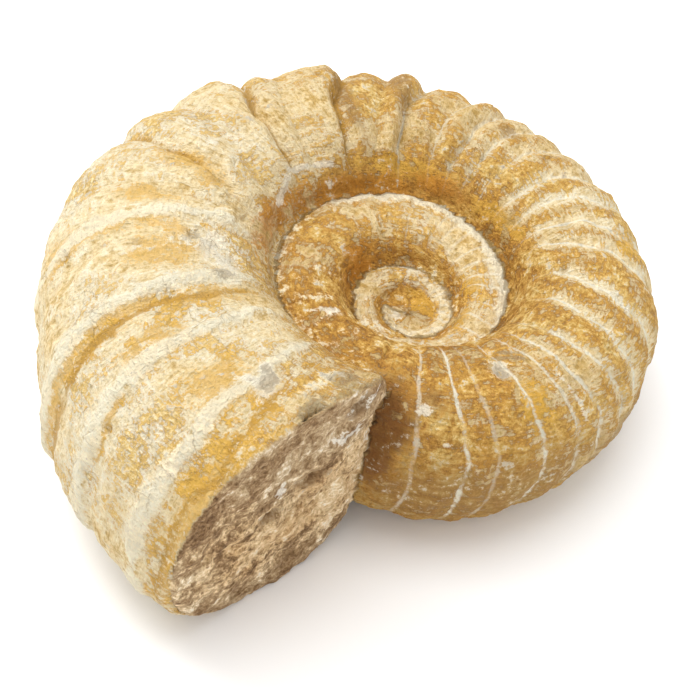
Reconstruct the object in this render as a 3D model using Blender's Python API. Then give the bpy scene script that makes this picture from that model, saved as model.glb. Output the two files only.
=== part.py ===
"""A large limestone ammonite: a ribbed spiral shell, broken off square at the mouth.

The coil is laid out round its own axis first. Whorl angle 0 points to +X and grows anticlockwise
seen from above, and the last whorl ends in the break. The whole is then leaned until it rests on
its worn underside. Lengths are metres, angles degrees.
"""

import math

import bmesh
import bpy
import numpy as np

# The coil: how far its rib crests stand from the axis, and how it grows.
CREST_RADIUS = 0.078
GROWTH_PER_RADIAN = 0.125
OVERLAP_SHARE = 0.774
SQUARENESS = 2.33
TURN = 360.0

# Slow swellings and dents of the venter, as a share of its radius, by whorl angle.
SWELL_ANGLES = (-900, -200, -105, -60, -15, 30, 75, 120, 165, 185, 205, 223, 245, 270, 300)
SWELL_SHARES = (
    0, 0, -0.022, 0.002, -0.014, -0.031, -0.025, -0.018,
    -0.003, -0.017, -0.047, -0.036, -0.050, -0.062, -0.070,
)

# Half the thickness of the whorl as a share of its venter radius, by whorl angle.
THICKNESS_ANGLES = (-1200, -600, -240, -120, -30, 60, 140, 200, 255, 700)
THICKNESS_SHARES = (0.343, 0.343, 0.371, 0.401, 0.399, 0.375, 0.362, 0.352, 0.352, 0.352)

# Hard matrix left under the near side of the last whorl thickens its lower half.
MATRIX_ANGLES = (-900, -150, -105, -60, -20, 700)
MATRIX_SHARES = (0, 0, 0.32, 0.26, 0, 0)

# The last whorl warps a little out of the plane of the coil.
WARP_COSINE = 0.037
WARP_SINE = -0.079
WARP_START = -290
WARP_LENGTH = 288

# The break: a nearly upright plane, by the bearing of its normal, its distance from the coil's axis
# and how much it leans out towards its foot.
BREAK_BEARING = -38
BREAK_DISTANCE = 0.487 * CREST_RADIUS
BREAK_TILT = 0.012
BREAK_ROUGHNESS = 0.0012
BREAK_FIRST_ANGLE = 215.0
BREAK_LAST_ANGLE = 300.0

# The grooves between the ribs: whorl angle at mid flank and depth, then how far across to the next
# groove the crest of the rib stands and how high. Depths and heights are shares of the venter radius.
# The last number is 0 for a broad round rib and 1 for a narrow ridge on a flat surface.
GROOVES = (
    (-82, 0.014, 0.50, 0.002, 0),
    (-70, 0.018, 0.50, 0.002, 0),
    (-62, 0.012, 0.50, 0.002, 0),
    (-49, 0.020, 0.50, 0.003, 0),
    (-38, 0.016, 0.50, 0.002, 0),
    (-31, 0.020, 0.50, 0.003, 0),
    (-22, 0.021, 0.50, 0.003, 0),
    (-7, 0.023, 0.50, 0.004, 0),
    (8, 0.027, 0.50, 0.012, 0),
    (26, 0.023, 0.50, 0.002, 0),
    (37, 0.018, 0.50, 0.002, 0),
    (48, 0.016, 0.50, 0.002, 0),
    (58, 0.025, 0.50, 0.006, 0),
    (69, 0.021, 0.50, 0.002, 0),
    (78, 0.022, 0.50, 0.003, 0),
    (86, 0.028, 0.50, 0.014, 0),
    (94, 0.020, 0.45, 0.003, 0),
    (106, 0.036, 0.40, 0.020, 0),
    (114, 0.022, 0.50, 0.003, 0),
    (125, 0.036, 0.24, 0.022, 0),
    (140, 0.016, 0.50, 0.003, 0),
    (147, 0.036, 0.35, 0.020, 0),
    (160, 0.016, 0.50, 0.003, 0),
    (171, 0.028, 0.50, 0.008, 0),
    (184, 0.012, 0.70, 0.008, 1),
    (195, 0.022, 0.50, 0.003, 1),
    (207, 0.010, 0.62, 0.012, 1),
    (218, 0.022, 0.85, 0.008, 1),
    (230, 0.020, 0.72, 0.009, 1),
    (249, 0.012, 0.50, 0.002, 1),
)

FIRST_DEPTH = 0.03

# How far the ribs swing from their angle at mid flank, at the umbilicus, the shoulder and the venter.
SWING_ANGLES = (-90, -70, -40, -22, -7, 8, 26, 40, 150, 171, 186, 196, 215, 260)
SWING_UMBILICUS = (0, 0, -3, 1, 6, 8, 8, 4, 4, 8, 0, -2, 1, 1)
SWING_SHOULDER = (1, 1, 1, 1, -4, -5, -6, -5, -5, -2, 0, 4, 0, 0)
SWING_VENTER = (2, 4, 4, 4, -5, -9, -9, -8, -8, -5, 0, 8, 3, 2)

# Round the section, 0 is the venter, 90 the upper flank and 180 the inside of the whorl.
RIB_FLANK = 88
RIB_SHOULDER = 65
RIB_VENTER = 20
RIB_UMBILICUS = 118
RIB_INNER_END = 142
RIB_FADE = 34

# How blunt the broad ribs are, how much of the ribs is left on the inner whorls, and the least
# whorl angle between two grooves where they are squeezed up against the break.
RIB_BLUNTNESS = 0.8
INNER_RIB_SHARE = 0.6
CLOSEST_GROOVES = 2.2

# The mesh: rows across each rib, columns round the section, and whorls inside the last one.
ROWS_PER_RIB = 4
UPPER_COLUMNS = 5
OUTER_COLUMNS = 9
LOWER_COLUMNS = 4
INNER_TURNS = 2
CAP_RINGS = 3

# The rest: which way the coil leans, by how much, and how much is worn off the underside.
LEAN_DEGREES = 8.6
LEAN_BEARING = -26.0
WORN_DEPTH = 0.0026

LIMESTONE = (0.70, 0.48, 0.22, 1.0)


def curve(x, places, values):
    """A smooth curve through a few stations, which never swings past them."""
    places = np.asarray(places, float)
    values = np.asarray(values, float)
    x = np.clip(x, places[0], places[-1])
    rises = np.diff(values) / np.diff(places)
    same_way = rises[:-1] * rises[1:] > 0
    total = np.where(same_way, rises[:-1] + rises[1:], 1)
    slopes = np.zeros(len(places))
    slopes[1:-1] = np.where(same_way, 2 * rises[:-1] * rises[1:] / total, 0)
    k = np.clip(np.searchsorted(places, x, side="right") - 1, 0, len(places) - 2)
    width = places[k + 1] - places[k]
    s = (x - places[k]) / width
    start = (1 + 2 * s) * (1 - s) ** 2 * values[k] + s * (1 - s) ** 2 * width * slopes[k]
    end = s * s * (3 - 2 * s) * values[k + 1] + s * s * (s - 1) * width * slopes[k + 1]
    return start + end


def ease(x, low, high):
    s = np.clip((x - low) / (high - low), 0, 1)
    return s * s * (3 - 2 * s)


def venter_radius(angle):
    swell = 1 + curve(angle, SWELL_ANGLES, SWELL_SHARES)
    return CREST_RADIUS * np.exp(GROWTH_PER_RADIAN * np.radians(angle)) * swell


def section_shape(angle):
    """Half height, centre radius, half thickness and centre height of the whorl's section."""
    radius = venter_radius(angle)
    inner = OVERLAP_SHARE * venter_radius(angle - TURN)
    thickness = radius * curve(angle, THICKNESS_ANGLES, THICKNESS_SHARES)
    turn = np.radians(angle)
    warp = WARP_COSINE * np.cos(turn) + WARP_SINE * np.sin(turn)
    height = radius * ease(angle, WARP_START, WARP_START + WARP_LENGTH) * warp
    return (radius - inner) / 2, (radius + inner) / 2, thickness, height


def power(value, exponent):
    return np.sign(value) * np.abs(value) ** exponent


def section_point(angle, around, relief=0.0):
    """Radius and height of a point of the whorl, given how far it stands off the smooth section."""
    half, centre, thickness, height = section_shape(angle)
    turn = np.radians(around)
    radius = centre + (half + relief) * power(np.cos(turn), 2 / SQUARENESS)
    up = power(np.sin(turn), 2 / SQUARENESS)
    matrix = thickness * curve(angle, MATRIX_ANGLES, MATRIX_SHARES) * np.minimum(up, 0)
    return radius, height + (thickness + relief) * up + matrix


def place(angle, radius, height):
    turn = np.radians(angle)
    return np.stack([radius * np.cos(turn), radius * np.sin(turn), height + 0 * turn], -1)


def bisect(outside, low, high):
    """The place between low and high where outside turns true, for arrays."""
    for _ in range(40):
        middle = (low + high) / 2
        out = outside(middle)
        low, high = np.where(out, low, middle), np.where(out, middle, high)
    return (low + high) / 2


def seam(angle, side):
    """Where the whorl meets the one inside it: its place round the inner whorl, then round this one."""
    half, centre, thickness, height = section_shape(angle)

    def shares(around):
        radius, level = section_point(angle - TURN, around)
        return (radius - centre) / half, (level - height) / thickness

    def outside(around):
        across, up = shares(around)
        return np.abs(across) ** SQUARENESS + np.abs(up) ** SQUARENESS > 1

    below = bisect(outside, 0 * angle, side * 100 + 0 * angle)
    across, up = shares(below)
    own = np.degrees(np.arctan2(power(up, SQUARENESS / 2), power(across, SQUARENESS / 2)))
    return below, own


def break_normal():
    bearing = math.radians(BREAK_BEARING)
    return np.array([math.cos(bearing), math.sin(bearing), BREAK_TILT])


def break_angle(around, low, high):
    """The whorl angle at which the break crosses the whorl, at a place round its section."""
    normal = break_normal()

    def outside(angle):
        radius, level = section_point(angle, around)
        return place(angle, radius, level) @ normal > BREAK_DISTANCE

    return bisect(outside, low + 0 * around, high + 0 * around)


def seam_end(side):
    """The whorl angle at which the seam on one side runs out into the break."""
    normal = break_normal()

    def outside(angle):
        radius, level = section_point(angle - TURN, seam(angle, side)[0])
        return place(angle, radius, level) @ normal > BREAK_DISTANCE

    return float(bisect(outside, np.array([BREAK_FIRST_ANGLE]), np.array([BREAK_LAST_ANGLE]))[0])


def groove_angles(around, first, last):
    """The whorl angles of the start, of each groove and of the end, at places round the section."""
    reach = np.abs(around)
    angles = [first]
    for flank, *_ in GROOVES:
        umbilicus, shoulder, venter = (
            float(curve(np.array(flank), SWING_ANGLES, swing))
            for swing in (SWING_UMBILICUS, SWING_SHOULDER, SWING_VENTER)
        )
        stations = (0, RIB_VENTER, RIB_SHOULDER, RIB_FLANK, RIB_UMBILICUS, TURN / 2)
        angles.append(flank + np.interp(reach, stations, (venter, venter, shoulder, 0, umbilicus, umbilicus)))
    angles.append(last)
    return np.stack([angle + 0 * around for angle in angles])


def rib_profile(row):
    """How deep the ribs are cut at a row, as a share of the venter radius. A crest stands proud."""
    gap = row // ROWS_PER_RIB
    share = (row % ROWS_PER_RIB) / ROWS_PER_RIB
    depths = [FIRST_DEPTH] + [groove[1] for groove in GROOVES] + [0.0]
    if share == 0:
        return depths[min(gap, len(depths) - 1)]
    if share == 0.5:
        return -([0.0] + [groove[3] for groove in GROOVES])[gap]
    narrow = ([0] + [groove[4] for groove in GROOVES])[gap]
    if narrow:
        return 0.0
    depth = depths[gap] if share < 0.5 else depths[gap + 1]
    return depth * (1 - math.sin(math.pi / 4) ** RIB_BLUNTNESS)


def lumps(points):
    """Broad wear: a gentle unevenness of the surface, the same on every build."""
    x, y, z = (points / 0.024).T
    first = np.sin(1.3 * x + 0.7 * z + 0.4) * np.cos(1.1 * y - 0.5 * z)
    second = np.sin(2.3 * x - 1.7 * y + 1.1) * np.sin(1.9 * z + 0.8 * y)
    return 0.6 * first + 0.4 * second


class Mesh:
    """Vertices and faces of one body, filled in bit by bit."""

    def __init__(self):
        self.points = []
        self.faces = []

    def add(self, point):
        self.points.append(tuple(point))
        return len(self.points) - 1

    def strip(self, first, second):
        """Quads between two rows of the same length."""
        for a, b, c, d in zip(first, first[1:], second[1:], second):
            corners = list(dict.fromkeys((a, b, c, d)))
            if len(corners) > 2:
                self.faces.append(corners)

    def zip_rows(self, first, second):
        """Triangles between two rows of any lengths, always taking the shorter way across."""
        i = j = 0

        def gap(a, b):
            return math.dist(self.points[a], self.points[b])

        while i < len(first) - 1 or j < len(second) - 1:
            ahead_first = gap(first[i + 1], second[j]) if i < len(first) - 1 else math.inf
            ahead_second = gap(first[i], second[j + 1]) if j < len(second) - 1 else math.inf
            if ahead_first < ahead_second:
                corners = (first[i], first[i + 1], second[j])
                i += 1
            else:
                corners = (first[i], second[j + 1], second[j])
                j += 1
            if len(set(corners)) == 3:
                self.faces.append(list(corners))


def column_places(angles):
    """Places round the section of the columns, from the upper seam round the venter to the lower.

    Each column has a whorl angle of its own.
    """
    own_up, own_low = seam(angles, 1)[1], seam(angles, -1)[1]
    next_up, next_low = seam(angles + TURN, 1)[0], seam(angles + TURN, -1)[0]
    column = np.arange(len(angles))
    upper = own_up + (next_up - own_up) * column / UPPER_COLUMNS
    outer = next_up + (next_low - next_up) * (column - UPPER_COLUMNS) / OUTER_COLUMNS
    lower = next_low + (own_low - next_low) * (column - UPPER_COLUMNS - OUTER_COLUMNS) / LOWER_COLUMNS
    places = np.where(column < UPPER_COLUMNS, upper, outer)
    return np.where(column > UPPER_COLUMNS + OUTER_COLUMNS, lower, places)


def last_whorl_rows():
    """Whorl angle and place round the section of every point of the last whorl."""
    ends = {side: seam_end(side) for side in (1, -1)}
    columns = UPPER_COLUMNS + OUTER_COLUMNS + LOWER_COLUMNS + 1
    start_places = column_places(np.full(columns, ends[1] - TURN))
    end_places = column_places(np.full(columns, ends[1]))
    around_start = ends[1] - TURN
    first = break_angle(start_places, around_start - 40, around_start + 40)
    first[: UPPER_COLUMNS + 1] = ends[1] - TURN
    first[UPPER_COLUMNS + OUTER_COLUMNS :] = ends[-1] - TURN
    last = break_angle(end_places, BREAK_FIRST_ANGLE, BREAK_LAST_ANGLE)
    last[0] = ends[1]
    last[-1] = ends[-1]
    knots = groove_angles(end_places, first, last)
    # Where the lines of the grooves would cross the break they are squeezed up against it.
    for k in range(1, len(knots) - 1):
        knots[k] = np.minimum(knots[k], last - CLOSEST_GROOVES * (len(knots) - 1 - k))
        knots[k] = np.maximum(knots[k], first + CLOSEST_GROOVES * k)
    rows = []
    for row in range((len(knots) - 1) * ROWS_PER_RIB + 1):
        gap = min(row // ROWS_PER_RIB, len(knots) - 2)
        share = row / ROWS_PER_RIB - gap
        if 0 < gap:
            crest = GROOVES[gap - 1][2]
            share = float(np.interp(share, (0, 0.5, 1), (0, crest, 1)))
        rows.append(knots[gap] + (knots[gap + 1] - knots[gap]) * share)
    return rows


def shell_points(mesh):
    """Every row of the spiral as vertex numbers, the innermost first."""
    last_rows = last_whorl_rows()
    per_turn = len(last_rows) - 1
    upper_end = UPPER_COLUMNS
    lower_start = UPPER_COLUMNS + OUTER_COLUMNS
    columns = lower_start + LOWER_COLUMNS + 1
    rows = []
    hubs = {}
    for turn in range(-INNER_TURNS, 1):
        count = per_turn + 1 if turn == 0 else per_turn
        for step in range(count):
            angles = last_rows[step].copy()
            if turn < 0:
                angles[:lower_start] = last_rows[step][0] + turn * TURN
                angles[lower_start:] = last_rows[step][-1] + turn * TURN
            around = column_places(angles)
            cut = rib_profile(step) * venter_radius(angles)
            cut = cut * (1 - ease(np.abs(around), RIB_INNER_END - RIB_FADE, RIB_INNER_END))
            if turn < 0:
                cut = cut * INNER_RIB_SHARE
                cut[[upper_end, lower_start]] = 0
            if turn == 0:
                cut = cut * ease(step, 0, 3)
            radius, height = section_point(angles, around, -cut)
            points = place(angles, radius, height)
            row = []
            for c in range(columns):
                hidden = turn < 0 and upper_end < c < lower_start
                side = 1 if c <= upper_end else -1
                if hidden:
                    row.append(None)
                elif c in (0, columns - 1) and turn > -INNER_TURNS:
                    row.append(rows[len(rows) - per_turn][upper_end if c == 0 else lower_start])
                elif c in (0, columns - 1):
                    if side not in hubs:
                        level = section_point(angles - TURN / 2, seam(angles + TURN / 2, side)[0])[1][c]
                        hubs[side] = mesh.add((0, 0, level))
                    row.append(hubs[side])
                else:
                    row.append(mesh.add(points[c]))
            rows.append(row)
    return rows, per_turn


def build_shell(mesh):
    rows, per_turn = shell_points(mesh)
    upper = slice(0, UPPER_COLUMNS + 1)
    outer = slice(UPPER_COLUMNS, UPPER_COLUMNS + OUTER_COLUMNS + 1)
    lower = slice(UPPER_COLUMNS + OUTER_COLUMNS, None)
    for number in range(len(rows) - 1):
        here, there = rows[number], rows[number + 1]
        if number == per_turn - 1:
            # The innermost turn closes on its own first row, then the spiral steps outwards.
            first = rows[0]
            mesh.zip_rows(here[upper], first[upper] + there[upper][1:])
            mesh.zip_rows(here[lower], there[lower][:-1] + first[lower])
        else:
            mesh.strip(here[upper], there[upper])
            mesh.strip(here[lower], there[lower])
        if number >= INNER_TURNS * per_turn:
            mesh.strip(here[outer], there[outer])
    return rows[-1], rows[INNER_TURNS * per_turn][outer]


def build_break(mesh, rim, dorsal):
    """The rough face between the end of the last whorl and the whorl it grew over."""
    normal = break_normal()
    rim_points = np.array([mesh.points[v] for v in rim])
    dorsal_points = np.array([mesh.points[v] for v in dorsal])
    lengths = np.linspace(0, 1, len(dorsal))
    inside = np.stack([np.interp(np.linspace(0, 1, len(rim)), lengths, axis) for axis in dorsal_points.T], -1)
    previous = rim
    for ring in range(1, CAP_RINGS + 1):
        share = ring / (CAP_RINGS + 1)
        points = rim_points + (inside - rim_points) * share
        points = points + np.outer(BREAK_ROUGHNESS * lumps(points * 2.2), normal)
        row = [rim[0]] + [mesh.add(point) for point in points[1:-1]] + [rim[-1]]
        mesh.strip(previous, row)
        previous = row
    mesh.zip_rows(previous, dorsal)


def lean(points):
    """Leans the coil into the pose in which it rests."""
    bearing = math.radians(LEAN_BEARING)
    axis = np.array([-math.sin(bearing), math.cos(bearing), 0])
    turn = math.radians(LEAN_DEGREES)
    along = np.outer(points @ axis, axis) * (1 - math.cos(turn))
    return points * math.cos(turn) + np.cross(axis, points) * math.sin(turn) + along


def rest(points):
    """Wears the underside flat where it touches, and stands it on the ground, centred."""
    floor = points[:, 2].min() + WORN_DEPTH
    points[:, 2] = np.maximum(points[:, 2] - floor, 0)
    middle = (points.min(0) + points.max(0)) / 2
    points[:, :2] -= middle[:2]
    return points


def make_ammonite():
    mesh = Mesh()
    rim, dorsal = build_shell(mesh)
    build_break(mesh, rim, dorsal)
    points = rest(lean(np.array(mesh.points)))
    data = bpy.data.meshes.new("ammonite")
    data.from_pydata([tuple(point) for point in points], [], mesh.faces)
    data.validate()
    shaped = bmesh.new()
    shaped.from_mesh(data)
    bmesh.ops.recalc_face_normals(shaped, faces=shaped.faces)
    bmesh.ops.triangulate(shaped, faces=shaped.faces)
    shaped.to_mesh(data)
    shaped.free()
    data.shade_smooth()
    ammonite = bpy.data.objects.new("ammonite", data)
    bpy.context.scene.collection.objects.link(ammonite)
    return ammonite


def limestone():
    material = bpy.data.materials.new("limestone")
    material.use_nodes = True
    surface = material.node_tree.nodes["Principled BSDF"]
    surface.inputs["Base Color"].default_value = LIMESTONE
    surface.inputs["Roughness"].default_value = 0.85
    surface.inputs["Metallic"].default_value = 0.0
    return material


for old in list(bpy.data.objects):
    bpy.data.objects.remove(old)
make_ammonite().data.materials.append(limestone())
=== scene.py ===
"""The looks of a large limestone ammonite: weathered ribs, mineral stains and a rough broken mouth.

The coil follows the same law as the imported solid: a spiral of ribbed whorls, each over the last,
leaned on its worn underside. Lengths are metres and angles degrees unless a name says otherwise.
"""

import math

import bmesh
import bpy
import numpy as np
from mathutils import Matrix, Vector


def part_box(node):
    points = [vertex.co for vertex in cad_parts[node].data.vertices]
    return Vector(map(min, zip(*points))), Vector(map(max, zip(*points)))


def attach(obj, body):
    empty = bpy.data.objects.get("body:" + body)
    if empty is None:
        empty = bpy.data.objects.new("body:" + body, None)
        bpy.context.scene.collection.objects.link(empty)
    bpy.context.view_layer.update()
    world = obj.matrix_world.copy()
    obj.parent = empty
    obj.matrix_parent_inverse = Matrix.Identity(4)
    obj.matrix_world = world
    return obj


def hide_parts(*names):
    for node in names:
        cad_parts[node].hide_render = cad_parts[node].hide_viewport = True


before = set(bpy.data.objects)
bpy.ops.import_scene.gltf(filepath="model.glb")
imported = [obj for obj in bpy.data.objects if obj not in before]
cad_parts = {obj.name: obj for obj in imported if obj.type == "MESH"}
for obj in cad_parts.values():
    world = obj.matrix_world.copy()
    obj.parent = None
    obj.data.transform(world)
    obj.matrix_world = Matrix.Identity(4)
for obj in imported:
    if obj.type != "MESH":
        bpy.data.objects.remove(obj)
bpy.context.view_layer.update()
ammonite_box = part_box("ammonite")

MM = 0.001
TURN = 360.0
TURN_RADIANS = 2 * math.pi
HALVINGS = 40

# --------------------------------------------------------------------------- the law of the coil
CREST_RADIUS = 0.078
GROWTH_PER_RADIAN = 0.125
OVERLAP_SHARE = 0.774
SQUARENESS = 2.33

SWELL_ANGLES = (-900, -200, -105, -60, -15, 30, 75, 120, 165, 185, 205, 223, 245, 270, 300)
SWELL_SHARES = (
    0, 0, -0.022, 0.002, -0.014, -0.031, -0.025, -0.018,
    -0.003, -0.017, -0.047, -0.036, -0.050, -0.062, -0.070,
)
THICKNESS_ANGLES = (-1200, -600, -240, -120, -30, 60, 140, 200, 255, 700)
THICKNESS_SHARES = (0.343, 0.343, 0.371, 0.401, 0.399, 0.375, 0.362, 0.352, 0.352, 0.352)
MATRIX_ANGLES = (-900, -150, -105, -60, -20, 700)
MATRIX_SHARES = (0, 0, 0.32, 0.26, 0, 0)
WARP_COSINE = 0.037
WARP_SINE = -0.079
WARP_START = -290
WARP_LENGTH = 288

BREAK_BEARING = -38
BREAK_DISTANCE = 0.487 * CREST_RADIUS
BREAK_TILT = 0.012
BREAK_FIRST_ANGLE = 215
BREAK_LAST_ANGLE = 300
# Only whorl angles past this one can be at the mouth, and none past this one can be on the whorl.
NEAR_MOUTH_ANGLE = 200
PAST_MOUTH_ANGLE = 292
# The corner of the mouth at the umbilicus is broken further back: where that starts and ends, in
# millimetres across the mouth, and how far back it goes.
CORNER_START = -58.0
CORNER_END = -40.0
CORNER_DEPTH = 8 * MM

# Each groove: whorl angle at mid flank, depth, how far across the next rib's crest stands, its
# height, 1 where that rib is a narrow ridge on a flat surface, and what lies in the groove: a pale
# mineral line below 0, a band of iron stain above it. Depths and heights are shares of the venter
# radius.
GROOVES = (
    (-98, 0.030, 0.50, 0.000, 0, 0),
    (-82, 0.014, 0.50, 0.002, 0, -0.6),
    (-70, 0.018, 0.50, 0.002, 0, -1),
    (-62, 0.012, 0.50, 0.002, 0, -0.4),
    (-49, 0.020, 0.50, 0.003, 0, -1),
    (-38, 0.016, 0.50, 0.002, 0, -0.7),
    (-31, 0.020, 0.50, 0.003, 0, -0.9),
    (-22, 0.021, 0.50, 0.003, 0, -1),
    (-7, 0.023, 0.50, 0.004, 0, -1),
    (8, 0.027, 0.50, 0.012, 0, -1),
    (26, 0.023, 0.50, 0.002, 0, -1),
    (37, 0.018, 0.50, 0.002, 0, -1),
    (48, 0.016, 0.50, 0.002, 0, -0.8),
    (58, 0.025, 0.50, 0.006, 0, -0.8),
    (69, 0.021, 0.50, 0.002, 0, -0.5),
    (78, 0.022, 0.50, 0.003, 0, -0.6),
    (86, 0.028, 0.50, 0.014, 0, -0.5),
    (94, 0.020, 0.45, 0.003, 0, -0.4),
    (106, 0.036, 0.40, 0.020, 0, -0.6),
    (114, 0.022, 0.50, 0.003, 0, 0),
    (125, 0.036, 0.24, 0.022, 0, 1),
    (140, 0.016, 0.50, 0.003, 0, 0),
    (147, 0.036, 0.35, 0.020, 0, 0.9),
    (160, 0.016, 0.50, 0.003, 0, 0.3),
    (171, 0.028, 0.50, 0.008, 0, 0.7),
    (184, 0.012, 0.70, 0.008, 1, 0.4),
    (195, 0.022, 0.50, 0.003, 1, 0.3),
    (207, 0.010, 0.62, 0.012, 1, 0.2),
    (218, 0.022, 0.85, 0.008, 1, 0.9),
    (230, 0.020, 0.72, 0.009, 1, 0.2),
    (249, 0.012, 0.50, 0.002, 1, 0.7),
)
SWING_ANGLES = (-90, -70, -40, -22, -7, 8, 26, 40, 150, 171, 186, 196, 215, 260)
SWING_UMBILICUS = (0, 0, -3, 1, 6, 8, 8, 4, 4, 8, 0, -2, 1, 1)
SWING_SHOULDER = (1, 1, 1, 1, -4, -5, -6, -5, -5, -2, 0, 4, 0, 0)
SWING_VENTER = (2, 4, 4, 4, -5, -9, -9, -8, -8, -5, 0, 8, 3, 2)
RIB_FLANK = 88
RIB_SHOULDER = 65
RIB_VENTER = 20
RIB_UMBILICUS = 118
RIB_INNER_END = 142
RIB_LAST_AROUND = 150
RIB_FADE = 34
INNER_RIB_SHARE = 0.4
INNER_LINE_SHARE = 1.6
GROOVE_WAVER = 0.9
GROOVE_WAVER_SIZE = 7 * MM
CLOSEST_GROOVES = 2.2

# Broad ribs are blunt. Narrow ridges stand between shallow dips. Widths are millimetres, before and
# after the crest or the groove, and heights are shares of the venter radius.
RIB_BLUNTNESS = 0.8
DIP_WIDTH = 4.0
DIP_SHARE = 0.36
RIDGE_WIDTHS = (5.0, 2.6)
RIDGE_SHOWN = 0.008
IRON_WIDTHS = (3.4, 1.6)

SEAM_FIRST_ANGLE = -900.0
SEAM_LAST_ANGLE = 285.0
SEAM_END_ANGLE = 262
SEAM_STEP = 3.0

# The ledge left along the seam on the whorl inside it, and the trough outside it. Millimetres.
LEDGE_INSET = 2.0
LEDGE_HALF_WIDTH = 2.6
LEDGE_HEIGHT = 0.7 * MM
LEDGE_ANGLES = (-900, -300, -10, 10, 125, 160, 700)
LEDGE_SHARES = (0.2, 0.2, 0.35, 1.0, 1.0, 0.3, 0.3)
TROUGH_OFFSET = 2.2
TROUGH_HALF_WIDTH = 2.4
TROUGH_DEPTH = 0.5 * MM
SEAM_WAVER = 0.5
SEAM_WAVER_SIZE = 5 * MM

# How the coil lies in the row's frame.
LEAN_DEGREES = 8.6
LEAN_BEARING = -26.0
COIL_AXIS_PLACE = np.array((0.0181, 0.0121, 0.0362))

# The mesh: the swept tube, and the size of the cells it is made solid with.
FIRST_ANGLE = -1000.0
NUCLEUS_RADIUS = 8 * MM
NUCLEUS_THICKNESS = 4.2 * MM
NUCLEUS_HEIGHT = 0.0
TUBE_ROWS = 680
TUBE_COLUMNS = 84
MOUTH_RINGS = (0.9, 0.75, 0.55, 0.35, 0.15)
CELL = 1.22 * MM


def curve(x, places, values):
    """A smooth curve through a few stations, which never swings past them."""
    places = np.asarray(places, float)
    values = np.asarray(values, float)
    x = np.clip(x, places[0], places[-1])
    rises = np.diff(values) / np.diff(places)
    same_way = rises[:-1] * rises[1:] > 0
    total = np.where(same_way, rises[:-1] + rises[1:], 1)
    slopes = np.zeros(len(places))
    slopes[1:-1] = np.where(same_way, 2 * rises[:-1] * rises[1:] / total, 0)
    k = np.clip(np.searchsorted(places, x, side="right") - 1, 0, len(places) - 2)
    width = places[k + 1] - places[k]
    s = (x - places[k]) / width
    start = (1 + 2 * s) * (1 - s) ** 2 * values[k] + s * (1 - s) ** 2 * width * slopes[k]
    end = s * s * (3 - 2 * s) * values[k + 1] + s * s * (s - 1) * width * slopes[k + 1]
    return start + end


def ease(x, low, high):
    s = np.clip((x - low) / (high - low), 0, 1)
    return s * s * (3 - 2 * s)


def power(value, exponent):
    return np.sign(value) * np.abs(value) ** exponent


def venter_radius(angle):
    swell = 1 + curve(angle, SWELL_ANGLES, SWELL_SHARES)
    return CREST_RADIUS * np.exp(GROWTH_PER_RADIAN * np.radians(angle)) * swell


def section_shape(angle):
    """Half height, centre radius, half thickness and centre height of the whorl's section."""
    radius = venter_radius(angle)
    inner = OVERLAP_SHARE * venter_radius(angle - TURN)
    thickness = radius * curve(angle, THICKNESS_ANGLES, THICKNESS_SHARES)
    turn = np.radians(angle)
    warp = WARP_COSINE * np.cos(turn) + WARP_SINE * np.sin(turn)
    height = radius * ease(angle, WARP_START, WARP_START + WARP_LENGTH) * warp
    return (radius - inner) / 2, (radius + inner) / 2, thickness, height


def section_point(angle, around, share=1.0):
    """Radius and height of a point of the whorl: share is 0 amid its section and 1 at the skin."""
    half, centre, thickness, height = section_shape(angle)
    turn = np.radians(around)
    radius = centre + share * half * power(np.cos(turn), 2 / SQUARENESS)
    up = share * power(np.sin(turn), 2 / SQUARENESS)
    matrix = thickness * curve(angle, MATRIX_ANGLES, MATRIX_SHARES) * np.minimum(up, 0)
    return radius, height + thickness * up + matrix


def place(angle, radius, height):
    turn = np.radians(angle)
    return np.stack([radius * np.cos(turn), radius * np.sin(turn), height + 0 * turn], -1)


def break_normal():
    bearing = math.radians(BREAK_BEARING)
    return np.array([math.cos(bearing), math.sin(bearing), BREAK_TILT])


def across_mouth(points):
    bearing = math.radians(BREAK_BEARING)
    return points @ np.array([-math.sin(bearing), math.cos(bearing), 0]) / MM


def beyond_mouth(points):
    """How far points stand out in front of the broken mouth."""
    back = CORNER_DEPTH * ease(across_mouth(points), CORNER_START, CORNER_END)
    return points @ break_normal() - BREAK_DISTANCE + back


def break_angle(around, share=1.0):
    """The whorl angle at which the mouth crosses the whorl, at places round its section."""
    low, high = BREAK_FIRST_ANGLE + 0 * around, BREAK_LAST_ANGLE + 0 * around
    for _ in range(HALVINGS):
        middle = (low + high) / 2
        out = beyond_mouth(place(middle, *section_point(middle, around, share))) > 0
        low, high = np.where(out, low, middle), np.where(out, middle, high)
    return (low + high) / 2


def lean(points):
    """Leans the coil into the pose in which it rests."""
    bearing = math.radians(LEAN_BEARING)
    axis = np.array([-math.sin(bearing), math.cos(bearing), 0])
    turn = math.radians(LEAN_DEGREES)
    along = np.outer(points @ axis, axis) * (1 - math.cos(turn))
    return points * math.cos(turn) + np.cross(axis, points) * math.sin(turn) + along


def to_row(points):
    return lean(points) + COIL_AXIS_PLACE


def to_coil(points):
    """Back from the row's frame to the coil's own."""
    forward = lean(np.eye(3))
    return (points - COIL_AXIS_PLACE) @ forward.T


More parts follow.
